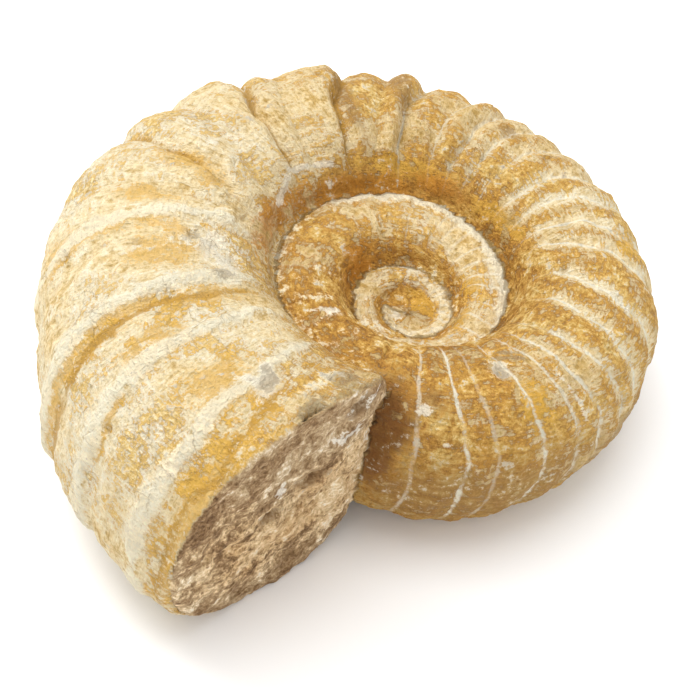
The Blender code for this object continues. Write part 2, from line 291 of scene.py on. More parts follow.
# --------------------------------------------------------------------------- the smooth coil
def swept_tube():
    """The whorl's section swept along the spiral to the break: closed, and running into itself."""
    around = np.arange(TUBE_COLUMNS) * TURN / TUBE_COLUMNS - TURN / 2
    last = break_angle(around)
    along = np.linspace(0, 1, TUBE_ROWS)[:, None]
    angles = FIRST_ANGLE + (last[None] - FIRST_ANGLE) * along
    rings = [place(row, *section_point(row, around)) for row in angles]
    # The mouth is closed in rings, each smaller than the last.
    for share in MOUTH_RINGS:
        row = break_angle(around, share)
        rings.append(place(row, *section_point(row, around, share)))
    points = to_row(np.concatenate(rings))
    start = np.arange(len(rings) - 1)[:, None] * TUBE_COLUMNS
    here = start + np.arange(TUBE_COLUMNS)
    beside = start + (np.arange(TUBE_COLUMNS) + 1) % TUBE_COLUMNS
    quads = np.stack([here, here + TUBE_COLUMNS, beside + TUBE_COLUMNS, beside], -1).reshape(-1, 4)
    first_cap = list(range(TUBE_COLUMNS))
    last_cap = [len(points) - 1 - number for number in range(TUBE_COLUMNS)]
    tube = bmesh.new()
    corners = [tube.verts.new(p) for p in points]
    for face in quads.tolist() + [first_cap, last_cap]:
        tube.faces.new([corners[number] for number in face])
    # The first chamber, which the spiral winds round.
    middle = Matrix.Translation(to_row(np.array([[0, 0, NUCLEUS_HEIGHT]]))[0])
    flat = Matrix.Diagonal((NUCLEUS_RADIUS, NUCLEUS_RADIUS, NUCLEUS_THICKNESS, 1))
    bmesh.ops.create_icosphere(tube, subdivisions=4, radius=1.0, matrix=middle @ flat)
    mesh = bpy.data.meshes.new("coil")
    tube.to_mesh(mesh)
    tube.free()
    return mesh


def made_solid(mesh):
    """One skin round the whorls that run into each other, in cells of one size."""
    coil = bpy.data.objects.new("coil", mesh)
    bpy.context.scene.collection.objects.link(coil)
    solid = coil.modifiers.new("one skin", "REMESH")
    solid.mode = "VOXEL"
    solid.voxel_size = CELL
    solid.adaptivity = 0.0
    graph = bpy.context.evaluated_depsgraph_get()
    result = bpy.data.meshes.new_from_object(coil.evaluated_get(graph))
    bpy.data.objects.remove(coil)
    return result


# --------------------------------------------------------------------------- places on the coil
def whorl_places(points):
    """Whorl angle, place round the section and share of its reach, for points of the coil."""
    bearing = np.degrees(np.arctan2(points[:, 1], points[:, 0]))
    radius = np.hypot(points[:, 0], points[:, 1])
    best = np.full(len(points), np.inf)
    angle = np.zeros(len(points))
    around = np.zeros(len(points))
    beyond = beyond_mouth(points) > CELL
    for turn in (1, 0, -1, -2):
        here = bearing + turn * TURN
        half, centre, thickness, height = section_shape(here)
        across = (radius - centre) / half
        up = (points[:, 2] - height) / thickness
        up = np.where(up < 0, up / (1 + curve(here, MATRIX_ANGLES, MATRIX_SHARES)), up)
        reach = np.abs(across) ** SQUARENESS + np.abs(up) ** SQUARENESS
        cut_off = (here > PAST_MOUTH_ANGLE) | beyond
        reach = np.where((here > NEAR_MOUTH_ANGLE) & cut_off, np.inf, reach)
        reach = np.where(here < FIRST_ANGLE, np.inf, reach)
        own = np.degrees(np.arctan2(power(up, SQUARENESS / 2), power(across, SQUARENESS / 2)))
        closer = reach < best
        best = np.where(closer, reach, best)
        angle = np.where(closer, here, angle)
        around = np.where(closer, own, around)
    return angle, around, best


def waver(points, size, seed):
    """A gentle unevenness, the same on every build, about as wide as size."""
    x, y, z = (points / size).T
    first = np.sin(1.3 * x + 0.7 * z + seed) * np.cos(1.1 * y - 0.5 * z + 2.1 * seed)
    second = np.sin(2.3 * x - 1.7 * y + 1.1 * seed) * np.sin(1.9 * z + 0.8 * y - seed)
    return 0.6 * first + 0.4 * second


def groove_lines(around):
    """The whorl angle of every groove at places round the section, then that of the break."""
    reach = np.abs(around)
    last = break_angle(np.clip(around, -RIB_LAST_AROUND, RIB_LAST_AROUND))
    stations = (0, RIB_VENTER, RIB_SHOULDER, RIB_FLANK, RIB_UMBILICUS, 181)
    lines = []
    for number, (flank, *_) in enumerate(GROOVES):
        umbilicus, shoulder, venter = (
            float(curve(np.array(flank), SWING_ANGLES, swing))
            for swing in (SWING_UMBILICUS, SWING_SHOULDER, SWING_VENTER)
        )
        swings = (venter, venter, shoulder, 0, umbilicus, umbilicus)
        line = flank + np.interp(reach, stations, swings)
        lines.append(np.minimum(line, last - CLOSEST_GROOVES * (len(GROOVES) - number)))
    return lines + [last]


def ribs(angle, around):
    """The ribs at each point: how deep they cut, and what lies in the groove or on the ridge."""
    turns_in = np.maximum(np.ceil((GROOVES[0][0] - angle) / TURN), 0)
    unrolled = angle + turns_in * TURN
    lines = groove_lines(around)
    radius = venter_radius(angle)
    mm_per_degree = np.radians(1) * radius / MM
    names = ("cut", "phase", "spacing", "pale_line", "iron", "ridge")
    made = {name: np.zeros(len(angle)) for name in names}
    for number, (_, depth, crest, height, narrow, stain) in enumerate(GROOVES):
        start, end = lines[number], lines[number + 1]
        after = GROOVES[number + 1] if number + 1 < len(GROOVES) else (0, 0.0, 0, 0, 0, 0)
        wide = np.maximum(end - start, 0.5)
        share = (unrolled - start) / wide
        inside = (share >= 0) & (share < 1)
        from_start = (unrolled - start) * mm_per_degree
        from_end = (end - unrolled) * mm_per_degree
        from_crest = (share - crest) * wide * mm_per_degree
        side = np.where(share < crest, share / crest, (1 - share) / (1 - crest))
        swell = np.sin(math.pi / 2 * np.clip(side, 0, 1)) ** RIB_BLUNTNESS
        round_rib = np.where(share < crest, depth, after[1]) * (1 - swell) - height * swell
        dip_before = depth * np.exp(-((from_start / DIP_WIDTH) ** 2))
        dip_after = after[1] * np.exp(-((from_end / DIP_WIDTH) ** 2))
        ridge = np.exp(-((from_crest / np.where(from_crest < 0, *RIDGE_WIDTHS)) ** 2))
        low_ridge = DIP_SHARE * (dip_before + dip_after) - height * ridge
        band_before = max(stain, 0) * np.exp(-((from_start / IRON_WIDTHS[0]) ** 2))
        band_after = max(after[5], 0) * np.exp(-((from_end / IRON_WIDTHS[1]) ** 2))
        line = np.where(share < 0.5, max(-stain, 0), max(-after[5], 0))
        shown = narrow * min(height / RIDGE_SHOWN, 1)
        for name, values in (
            ("cut", low_ridge if narrow else round_rib),
            ("phase", share),
            ("spacing", wide * mm_per_degree),
            ("pale_line", line),
            ("iron", band_before + band_after),
            ("ridge", ridge * shown),
        ):
            made[name] = np.where(inside, values, made[name])
    fade = 1 - ease(np.abs(around), RIB_INNER_END - RIB_FADE, RIB_INNER_END)
    inner = np.where(turns_in > 0, INNER_RIB_SHARE, 1)
    made["cut"] = made["cut"] * inner * radius * fade
    for name in ("pale_line", "iron", "ridge"):
        made[name] = made[name] * fade * inner
    return made


def seam_stations():
    """Whorl angles, and where the seam lies round the whorl inside and round the whorl itself."""
    angles = np.arange(SEAM_FIRST_ANGLE, SEAM_LAST_ANGLE, SEAM_STEP)
    half, centre, thickness, height = section_shape(angles)
    low, high = 0 * angles, 0 * angles + 100
    for _ in range(HALVINGS):
        middle = (low + high) / 2
        radius, level = section_point(angles - TURN, middle)
        across = (radius - centre) / half
        up = (level - height) / thickness
        out = np.abs(across) ** SQUARENESS + np.abs(up) ** SQUARENESS > 1
        low, high = np.where(out, low, middle), np.where(out, middle, high)
    own = np.degrees(np.arctan2(power(up, SQUARENESS / 2), power(across, SQUARENESS / 2)))
    return angles, middle, own


def seam_gap(angle, around):
    """Distance from the upper seam: above 0 along the inner whorl, below 0 out along the wall."""
    angles, below, own = seam_stations()
    here = np.stack(section_point(angle, around))
    outer_seam = np.stack(section_point(angle, np.interp(angle + TURN, angles, below)))
    own_seam = np.stack(section_point(angle, np.interp(angle, angles, own)))
    inwards = np.hypot(*(here - outer_seam))
    outwards = np.hypot(*(here - own_seam))
    has_whorl_outside = angle + TURN < SEAM_END_ANGLE
    gap = np.where(has_whorl_outside & (inwards < outwards), inwards, -outwards)
    return np.where(around > 0, gap, 1.0)


def blots(angle, around, patches):
    """How far inside the nearest patch each point is: 1 at its middle, a half at its edge."""
    most = np.zeros(len(angle))
    for middle, height, half_wide, half_high, slant in patches:
        along = (angle - middle - slant * (around - height)) / half_wide
        off = (around - height) / half_high
        most = np.maximum(most, 1 - 0.5 * np.hypot(along, off))
    return most


def strokes(angle, around, lines):
    """The same for narrow marks from one place to another. Half widths are in millimetres."""
    most = np.zeros(len(angle))
    across = np.radians(section_shape(angle)[2]) / MM
    along = np.radians(venter_radius(angle)) / MM
    for first_angle, first_height, last_angle, last_height, half_wide in lines:
        from_first = np.stack([(angle - first_angle) * along, (around - first_height) * across])
        whole = [(last_angle - first_angle) * along, (last_height - first_height) * across]
        whole = np.stack(whole)
        share = np.clip((from_first * whole).sum(0) / (whole * whole).sum(0), 0, 1)
        away = np.hypot(*(from_first - share * whole))
        most = np.maximum(most, 1 - 0.5 * away / half_wide)
    return most


# How far the chalky skin has worn through to ochre stone, by whorl angle, and by place round the
# section, and how wide the pale zone beside each pale line is.
WORN_ANGLES = (-900, -420, -300, -105, -70, -40, 0, 40, 80, 110, 135, 165, 200, 235, 256)
WORN_SHARES = (
    -0.10, 0.08, 0.00, 0.40, 0.36, 0.24, 0.22, 0.14,
    0.20, 0.16, 0.00, -0.16, -0.20, -0.17, 0.06,
)
PALE_ZONE_ANGLES = (-100, -50, -15, 10, 75, 110)
PALE_ZONE_SHARES = (0.2, 0.3, 0.9, 1.4, 1.4, 0.6)
WORN_ROUND_PLACES = (-180, -60, 0, 40, 90, 112, 128, 150, 180)
WORN_ROUND_SHARES = (0.05, 0.05, 0.00, 0.00, 0.00, 0.02, 0.16, 0.28, 0.22)

# Stains and scars, by whorl angle, place round the section, half width and half height in degrees,
# and how far each leans along the whorl. The places of one kind of stain stand together. Some
# places
# are painted shade: the underside of the whorl, and part of the recess beside the mouth.
GOLDEN_PLACES = (
    (203, 87, 5, 12, 0.0),
    (196, 92, 3, 6, 0.0),
    (195, 50, 2.6, 44, -0.03),
    (219.5, 94, 3, 20, 0.0),
    (219, 36, 1.8, 40, 0.0),
    (226, 74, 3, 18, 0.0),
    (241, 82, 6, 12, 0.0),
    (249, 46, 3.4, 50, 0.0),
    (186, 77, 3, 12, 0.0),
    (173, 88, 3, 10, 0.0),
    (177, 100, 4, 6, 0.0),
    (60, 132, 14, 8, 0.0),
    (108, 128, 16, 8, 0.0),
    (-328, 118, 12, 16, 0.0),
    (-365, 130, 14, 14, 0.0),
    (-664, 150, 45, 26, 0.0),
    (-46, 60, 4, 16, 0.0),
    (28, 62, 5, 16, 0.0),
)
BROWN_PLACES = (
    (132, 141, 34, 9, 0.0),
    (176, 136, 16, 8, 0.0),
    (92, 134, 12, 7, 0.0),
    (-205, 130, 12, 12, 0.0),
    (-196, 148, 22, 14, 0.0),
)
# The first three darken the underside of the whorl: painted shade. The rest are soil stains on the
# flanks.
SOIL_AND_UNDERSIDE_SHADE_PLACES = (
    (-60, -10, 34, 26, 0.0),
    (-10, -12, 26, 18, 0.0),
    (30, -20, 30, 14, 0.0),
    (-78, 70, 5, 10, 0.0),
    (77, 77, 3, 5, 0.0),
    (107, 70, 2.5, 24, 0.0),
    (122, 90, 1.8, 30, 0.0),
)
# Darker brown in the recess beside the mouth: partly matrix in it, partly painted shade of the
# recess.
RECESS_MATRIX_AND_SHADE_PLACES = (
    (-92, 44, 10, 36, 0.0),
    (-90, 16, 6, 20, 0.0),
)
CHALK_PLACES = (
    (201, 108, 5, 7, 0.0),
    (207, 112, 4, 6, 0.0),
    (245.6, 93, 2.9, 5.2, 0.0),
    (-52, 92, 2.8, 5.0, 0.0),
    (-79.7, 63, 1.8, 4, 0.0),
    (-72, 37, 1.6, 3, 0.0),
    (165, 90, 1.6, 3, 0.0),
    (141, 136, 1.6, 2.5, 0.0),
    (-136, 103, 2.4, 10, 0.2),
    (-897, 133, 30, 28, 0.0),
    (-620, 176, 50, 7, 0.0),
)
GREY_PLACES = (
    (-52, 91, 2.0, 3.6, 0.0),
    (245.6, 93.4, 1.9, 3.4, 0.0),
    (213, 107, 1.6, 3, 0.0),
    (256, 92, 1.6, 5, 0.0),
    (259, 113, 2.0, 9, 0.0),
    (198, 99, 2.0, 3.6, 0.0),
)
GOLDEN_STROKES = (
    (219, 12, 217.6, 40, 1.9),
    (217.6, 40, 216, 62, 2.1),
    (216.4, 62, 216.6, 80, 2.8),
    (216.8, 80, 218.2, 92, 3.2),
    (218.2, 92, 217.8, 104, 2.8),
    (217.8, 104, 218.8, 120, 1.9),
    (197, 16, 196.5, 36, 1.8),
    (196.5, 36, 193.2, 60, 1.8),
    (193.2, 60, 193.6, 82, 2.2),
    (232, 20, 230, 50, 1.6),
)
RIDGE_STROKES = (
    (214.2, 66, 214.7, 98, 1.8),
    (214.7, 98, 216, 115, 1.5),
)
CHALK_STROKES = (
    (156, 121, 137, 125, 1.3),
    (168, 134, 157, 124, 1.3),
    (-38, 75, -36, 32, 0.5),
    (-35, 75, -33, 34, 0.5),
)
GREY_STROKES = (
    (-50, 103, -40, 92, 0.7),
    (-48, 107, -38, 97, 0.5),
)

# Dents and knobs: the same first four numbers, then the depth in millimetres, below 0 for a knob.
DENTS = (
    (176, 96, 4, 6, -1.5),
    (182, 104, 4, 6, -1.9),
    (188, 112, 4, 6, -1.5),
    (-52, 91, 2.6, 5, 1.3),
    (-92, 44, 8, 36, 2.5),
    (245.6, 93.4, 3.2, 5, 1.0),
    (258, 89, 2.4, 6, 5.0),
    (198, 99, 2.4, 4, 1.6),
    (201, 108, 4, 6, 0.8),
    (79.7, 103, 1.0, 2.4, 1.6),
    (80.5, 120, 1.0, 2.4, 1.6),
    (63.3, 80, 1.0, 2.4, 1.6),
    (86.5, 96, 1.0, 2.4, 1.6),
    (103, 108, 1.0, 2.4, 1.6),
    (170, 96, 3, 5, 1.0),
    (233, 104, 3, 4, 1.0),
)
DENT_EDGES = (0.5, 1.2)


def dented(angle, around):
    depth = np.zeros(len(angle))
    for middle, height, half_wide, half_high, most in DENTS:
        away = np.hypot((angle - middle) / half_wide, (around - height) / half_high)
        depth = depth + most * MM * (1 - ease(away, *DENT_EDGES))
    return depth


# On the broken mouth: middles across and up from the coil's axis, half width and half height, all
# in millimetres, of the pits, of the pale calcite and of the lower lobe of lighter stone.
MOUTH_PITS = (
    (-74, 20, 5, 3.5),
    (-88, 12, 4, 2.5),
    (-50, 26, 3, 2),
    (-60, 44, 5, 3),
    (-38, 12, 3, 1.6),
)
MOUTH_CALCITE = (
    (-62, 33, 5, 2.5),
    (-86, 22, 2.5, 4),
    (-44, 18, 6, 2),
    (-38, 46, 3.5, 3),
    (-50, 47, 4, 2),
)
MOUTH_LOBE = ((-60, 2, 46, 18), (-26, 26, 11, 24), (-46, 14, 16, 12))
MOUTH_PIT_DEPTH = 2.0 * MM
# Grey stone along the upper edge of the mouth: how wide, and where it comes in round the section.
MOUTH_EDGE_WIDTH = 1.8 * MM
MOUTH_EDGE_AROUND = (72, 100)
RIM_ROUND_ABOVE = 1.0 * MM
RIM_ROUND_BELOW = 6.0 * MM
RIM_ROUND_AROUND = (-10, 30)
# Which points are on the mouth: how far their faces turn to the front, how many cells they are from
# it, how far inside its edge it grows rough, and where a pit is deep.
MOUTH_FACING = (0.40, 0.75)
MOUTH_CELLS = (-1.6, -0.6)
MOUTH_INSIDE = (0.03, 0.25)
MOUTH_PIT_EDGES = (0.5, 0.8)


def mouth_blots(points, places):
    across, up = across_mouth(points), points[:, 2] / MM
    most = np.zeros(len(points))
    for middle, height, half_wide, half_high in places:
        away = np.hypot((across - middle) / half_wide, (up - height) / half_high)
        most = np.maximum(most, 1 - 0.5 * away)
    return most


def rim_round(points, angle, around, reach, broken):
    """How far the edge of the broken mouth is worn round: least above, most below."""
    to_mouth = -beyond_mouth(points)
    to_flank = (1 - reach ** (1 / SQUARENESS)) * section_shape(angle)[2]
    away = np.where(broken > 0.5, to_flank, to_mouth)
    below = ease(-around, *RIM_ROUND_AROUND)
    size = RIM_ROUND_ABOVE + (RIM_ROUND_BELOW - RIM_ROUND_ABOVE) * below
    short = np.clip(size - away, 0, size)
    return (size - np.sqrt(size * size - short * short)) * (angle > NEAR_MOUTH_ANGLE)


def keep(mesh, name, values):
    """Keeps a number, or a direction, at every point of a mesh under a name."""
    kind = "FLOAT" if values.ndim == 1 else "FLOAT_VECTOR"
    field = "value" if values.ndim == 1 else "vector"
    attribute = mesh.attributes.new(name, kind, "POINT")
    attribute.data.foreach_set(field, values.astype(np.float32).ravel())


def points_of(mesh):
    flat = np.empty(len(mesh.vertices) * 3, np.float32)
    mesh.vertices.foreach_get("co", flat)
    return flat.reshape(-1, 3).astype(float)


def normals_of(mesh):
    flat = np.empty(len(mesh.vertices) * 3, np.float32)
    mesh.vertex_normals.foreach_get("vector", flat)
    return flat.reshape(-1, 3).astype(float)


def mark_places(mesh):
    """Writes where each point is on the coil, what stains and dents it has, and where shade is
    painted.
    """
    points = to_coil(points_of(mesh))
    normals = normals_of(mesh) @ lean(np.eye(3)).T
    angle, around, reach = whorl_places(points)
    faces_out = ease(normals @ break_normal(), *MOUTH_FACING)
    at_mouth = ease(-np.abs(beyond_mouth(points)), MOUTH_CELLS[0] * CELL, MOUTH_CELLS[1] * CELL)
    broken = faces_out * at_mouth * (angle > NEAR_MOUTH_ANGLE)
    whole = 1 - broken
    wavered = angle + GROOVE_WAVER * waver(points, GROOVE_WAVER_SIZE, 1.0)
    rib = ribs(wavered, around)
    gap = seam_gap(angle, around) / MM + SEAM_WAVER * waver(points, SEAM_WAVER_SIZE, 2.0)
    ledge = np.exp(-(((gap - LEDGE_INSET) / LEDGE_HALF_WIDTH) ** 2))
    ledge_shown = curve(angle + TURN, LEDGE_ANGLES, LEDGE_SHARES)
    trough = np.exp(-(((gap + TROUGH_OFFSET) / TROUGH_HALF_WIDTH) ** 2))
    seam_cut = trough * TROUGH_DEPTH - ledge * ledge_shown * LEDGE_HEIGHT
    rim = rim_round(points, angle, around, reach, broken)
    worn_round = curve(around, WORN_ROUND_PLACES, WORN_ROUND_SHARES)
    pits = mouth_blots(points, MOUTH_PITS) * broken
    inside = ease(1 - reach, *MOUTH_INSIDE)
    turn = 2 * math.pi * rib["phase"]
    metres_along = np.radians(angle) * venter_radius(angle)
    metres_round = np.radians(around) * section_shape(angle)[2]
    mouth_edge = 1 - 0.5 * np.abs(beyond_mouth(points)) / MOUTH_EDGE_WIDTH
    mouth_edge = mouth_edge * (angle > NEAR_MOUTH_ANGLE)
    mouth_edge = mouth_edge * ease(around, *MOUTH_EDGE_AROUND)
    strokes_left = {"golden": GOLDEN_STROKES, "chalk": CHALK_STROKES, "grey": GREY_STROKES}
    pale_ridge = np.maximum(rib["ridge"], ledge * ledge_shown)
    pale_ridge = np.maximum(pale_ridge, np.clip(strokes(angle, around, RIDGE_STROKES), 0, 1))
    keep(mesh, "rib_phase", np.stack([np.cos(turn), np.sin(turn), rib["spacing"]], -1))
    keep(mesh, "rib_cut", (rib["cut"] + seam_cut) * whole)
    pale_line = rib["pale_line"] * whole * np.where(angle > GROOVES[0][0], 1, INNER_LINE_SHARE)
    keep(mesh, "pale_line", pale_line)
    keep(mesh, "pale_zone", pale_line * curve(angle, PALE_ZONE_ANGLES, PALE_ZONE_SHARES))
    keep(mesh, "iron", rib["iron"] * whole)
    keep(mesh, "ridge", pale_ridge * whole)
    pitted = ease(pits, *MOUTH_PIT_EDGES) * MOUTH_PIT_DEPTH
    keep(mesh, "dent", dented(angle, around) * whole + rim + pitted)
    keep(mesh, "broken", broken)
    keep(mesh, "break_rough", broken * inside)
    keep(mesh, "mouth_pit", pits)
    keep(mesh, "calcite", mouth_blots(points, MOUTH_CALCITE) * broken)
    keep(mesh, "lobe", mouth_blots(points, MOUTH_LOBE) * broken)
    keep(mesh, "along_whorl", np.stack([metres_along, metres_round, reach], -1))
    keep(mesh, "worn", curve(angle, WORN_ANGLES, WORN_SHARES) + worn_round)
    for name, places in (
        ("golden", GOLDEN_PLACES),
        ("brown", BROWN_PLACES),
        # Painted shade on the underside, and soil stains.
        ("soil_and_underside_shade", SOIL_AND_UNDERSIDE_SHADE_PLACES),
        # Matrix and painted shade in the recess beside the mouth.
        ("recess_matrix_and_shade", RECESS_MATRIX_AND_SHADE_PLACES),
        ("chalk", CHALK_PLACES),
        ("grey", GREY_PLACES),
    ):
        inside_one = blots(angle, around, places)
        inside_one = np.maximum(inside_one, strokes(angle, around, strokes_left.get(name, ())))
        if name == "grey":
            inside_one = np.maximum(inside_one, mouth_edge)
        keep(mesh, name, inside_one * whole)


# --------------------------------------------------------------------------- node trees
MATH = "ShaderNodeMath"
VECTOR_MATH = "ShaderNodeVectorMath"
MAP_RANGE = "ShaderNodeMapRange"
MIX = "ShaderNodeMix"
NOISE = "ShaderNodeTexNoise"
CELLS = "ShaderNodeTexVoronoi"
PLUS = {"operation": "ADD"}
MINUS = {"operation": "SUBTRACT"}
TIMES = {"operation": "MULTIPLY"}
TIMES_PLUS = {"operation": "MULTIPLY_ADD"}
OVER = {"operation": "DIVIDE"}
SMOOTH = {"interpolation_type": "SMOOTHSTEP"}
COLOUR_MIX = {"data_type": "RGBA"}


def add(tree, kind, settings=None, inputs=None, stops=()):
    """Adds a node with its settings. Inputs are values or sockets, by name or by number."""
    made = tree.nodes.new(kind)
    for name, value in (settings or {}).items():
        setattr(made, name, value)
    for key, value in (inputs or {}).items():
        if isinstance(value, bpy.types.NodeSocket):
            tree.links.new(value, made.inputs[key])
        else:
            made.inputs[key].default_value = value
    for number, (position, code) in enumerate(stops):
        elements = made.color_ramp.elements
        element = elements[number] if number < 2 else elements.new(position)
        element.position = position
        element.color = hex_colour(code)
    return made


def hex_colour(code):
    """An sRGB hex colour as linear red, green and blue."""
    parts = [int(code[i : i + 2], 16) / 255 for i in (1, 3, 5)]
    linear = [c / 12.92 if c <= 0.04045 else ((c + 0.055) / 1.055) ** 2.4 for c in parts]
    return (*linear, 1.0)


RELIEF_INPUTS = (
    ("Rib Relief", 1.0),
    ("Lump Height", 3.0 * MM),
    ("Lump Size", 17 * MM),
    ("Grain Height", 2.6 * MM),
    ("Grain Size", 5.0 * MM),
    ("Break Height", 6.5 * MM),
    ("Break Size", 13 * MM),
    ("Pit Depth", 1.4 * MM),
    ("Pit Size", 8 * MM),
    ("Seed", 3.0),
)
# Layers of unevenness: their input names, detail, roughness, and the attribute that limits them.
RELIEF_LAYERS = (
    ("Lump Height", "Lump Size", 2.0, 0.5, None),
    ("Grain Height", "Grain Size", 3.0, 0.6, None),
    ("Break Height", "Break Size", 5.0, 0.6, "break_rough"),
)
# Only some of the cells hold a pit, which is as wide as this share of its cell.
PIT_CHOICE = 0.62
PIT_EDGES = (0.10, 0.30)


def relief_tree(material):
    """Weathering that follows the coil: cuts the ribs, raises lumps and grain, and sinks pits."""
    tree = bpy.data.node_groups.new("weathered relief", "GeometryNodeTree")
    tree.interface.new_socket("Geometry", in_out="INPUT", socket_type="NodeSocketGeometry")
    for name, value in RELIEF_INPUTS:
        socket = tree.interface.new_socket(name, in_out="INPUT", socket_type="NodeSocketFloat")
        socket.default_value = value
    tree.interface.new_socket("Geometry", in_out="OUTPUT", socket_type="NodeSocketGeometry")
    given = add(tree, "NodeGroupInput").outputs
    stored = {}
    for name in ("rib_cut", "dent", "break_rough"):
        number = add(tree, "GeometryNodeInputNamedAttribute", {"data_type": "FLOAT"}, {0: name})
        stored[name] = number.outputs[0]
    cut = add(tree, MATH, TIMES, {0: stored["rib_cut"], 1: given["Rib Relief"]})
    rise = add(tree, MATH, TIMES_PLUS, {0: cut.outputs[0], 1: -1.0, 2: 0.0})
    rise = add(tree, MATH, MINUS, {0: rise.outputs[0], 1: stored["dent"]})
    for height, size, detail, roughness, limit in RELIEF_LAYERS:
        scale = add(tree, MATH, OVER, {0: 1.0, 1: given[size]}).outputs[0]
        wanted = {"W": given["Seed"], "Scale": scale, "Detail": detail, "Roughness": roughness}
        wave = add(tree, NOISE, {"noise_dimensions": "4D"}, wanted).outputs[0]
        level = add(tree, MATH, MINUS, {0: wave, 1: 0.5}).outputs[0]
        if limit:
            level = add(tree, MATH, TIMES, {0: level, 1: stored[limit]}).outputs[0]
        layer = {0: level, 1: given[height], 2: rise.outputs[0]}
        rise = add(tree, MATH, TIMES_PLUS, layer)
    pit_scale = add(tree, MATH, OVER, {0: 1.0, 1: given["Pit Size"]}).outputs[0]
    wanted = {"W": given["Seed"], "Scale": pit_scale}
    cells = add(tree, CELLS, {"voronoi_dimensions": "4D"}, wanted).outputs
    number = add(tree, "ShaderNodeSeparateXYZ", None, {0: cells["Color"]}).outputs[0]
    chosen = add(tree, MATH, {"operation": "GREATER_THAN"}, {0: number, 1: PIT_CHOICE}).outputs[0]
    edges = {0: cells["Distance"], 1: PIT_EDGES[0], 2: PIT_EDGES[1], 3: 1.0, 4: 0.0}
    hole = add(tree, MAP_RANGE, SMOOTH, edges).outputs[0]
    pit = add(tree, MATH, TIMES, {0: hole, 1: chosen}).outputs[0]
    pit_cut = add(tree, MATH, TIMES, {0: pit, 1: given["Pit Depth"]}).outputs[0]
    rise = add(tree, MATH, MINUS, {0: rise.outputs[0], 1: pit_cut}).outputs[0]
    normal = add(tree, "GeometryNodeInputNormal").outputs[0]
    offset = add(tree, VECTOR_MATH, {"operation": "SCALE"}, {0: normal, "Scale": rise}).outputs[0]
    moved = {"Geometry": given["Geometry"], "Offset": offset}
    moved = add(tree, "GeometryNodeSetPosition", None, moved)
    kept = add(
        tree,
        "GeometryNodeStoreNamedAttribute",
        {"data_type": "FLOAT", "domain": "POINT"},
        {"Geometry": moved.outputs[0], "Name": "pit", "Value": pit},
    )
    joined = add(tree, "GeometryNodeRealizeInstances", None, {0: kept.outputs[0]})
    clothed = {"Geometry": joined.outputs[0], "Material": material}
    faced = add(tree, "GeometryNodeSetMaterial", None, clothed)
    add(tree, "NodeGroupOutput", None, {"Geometry": faced.outputs[0]})
    return tree


# Patterns in the stone: how wide each is in millimetres, its detail, its roughness, and whether it
# lies in the stone or runs in streaks along or across the whorl. The real grain is finer than the
# last ones, which are as coarse as they need to be to show.
PATTERNS = (
    ("broad", 24, 3.0, 0.55, "stone"),
    ("mottle", 8.0, 6.0, 0.66, "stone"),
    ("flecks", 2.8, 5.0, 0.70, "stone"),
    ("grit", 1.1, 3.0, 0.70, "stone"),
    ("along", 1.3, 4.0, 0.65, "along"),
    ("across", 1.7, 4.0, 0.65, "across"),
)
STREAK_STRETCH = 0.2
# Where each level starts, and how much each pattern counts in it. Patterns run from -0.5 to 0.5.
WORN_LEVEL = (
    0.0,
    {"mottle": 2.0, "flecks": 1.3, "grit": 0.5, "along": 0.9, "across": 0.7, "broad": 1.6},
)
SKIN_LEVEL = (0.58, {"broad": 1.1, "mottle": 0.7, "flecks": 0.9, "grit": 0.3, "across": 0.6})
OCHRE_LEVEL = (0.48, {"broad": 0.8, "mottle": 1.1, "flecks": 1.0, "grit": 0.4, "along": 0.6})
RAGGED_LEVEL = (0.0, {"mottle": 1.0, "flecks": 0.9, "grit": 0.3})
ZONE_LEVEL = (0.0, {"mottle": 2.0, "flecks": 3.0, "along": 8.0})
LINE_LEVEL = (0.0, {"mottle": 1.5, "flecks": 1.5, "grit": 0.8})
BREAK_LEVEL = (0.49, {"broad": 0.7, "mottle": 0.9, "flecks": 0.8, "grit": 0.5})
SHADE_LEVEL = (1.0, {"mottle": 0.30, "flecks": 0.60, "grit": 0.45, "along": 0.30, "across": 0.40})
BUMP_LEVEL = (0.0, {"flecks": 2.8, "grit": 1.5, "along": 1.0, "across": 1.6})

SKIN_STOPS = (
    (0.24, "#D6AE62"),
    (0.40, "#EFD298"),
    (0.56, "#FBE8BC"),
    (0.74, "#FFF8E2"),
)
OCHRE_STOPS = (
    (0.20, "#7A4C12"),
    (0.36, "#B07722"),
    (0.51, "#CD983A"),
    (0.66, "#E3BC66"),
    (0.84, "#F8E7B6"),
)
BREAK_STOPS = (
    (0.25, "#654628"),
    (0.38, "#8E6D48"),
    (0.51, "#AE9069"),
    (0.64, "#CDB48F"),
    (0.80, "#F0E6D4"),
)
LOBE_STOPS = (
    (0.24, "#8A6338"),
    (0.38, "#B88E5C"),
    (0.51, "#D2B080"),
    (0.64, "#E6CCA2"),
    (0.80, "#FAF0DC"),
)
# Stains, two of them with painted shade, in the order they lie: attribute, colour, how ragged the
# edge is, how soft, how strong.
STAINS = (
    ("golden", "#E4B24A", 2.4, 0.17, 0.70),
    ("iron", "#C6963E", 2.0, 0.18, 0.75),
    ("brown", "#C8852C", 1.8, 0.26, 0.78),
    # The underside darker: painted shade, with a few soil stains on the flanks.
    ("soil_and_underside_shade", "#A07A48", 1.8, 0.34, 0.62),
    # Darker brown in the recess beside the mouth: partly matrix, partly painted shade.
    ("recess_matrix_and_shade", "#84552A", 1.3, 0.24, 0.85),
    ("ridge", "#FFF6DA", 2.4, 0.24, 0.75),
    ("chalk", "#FDF5E0", 2.2, 0.16, 0.70),
    ("grey", "#9E8C70", 2.2, 0.16, 0.58),
)
MARKS = ["worn", "pit", "pale_line", "pale_zone", "broken", "mouth_pit", "calcite", "lobe"]
PALE_LINE_COLOUR = "#FFF6DE"
PALE_LINE_WIDTH = 1.0
PALE_ZONE_WIDTH = 7.0
PALE_ZONE_SHARE = 0.40
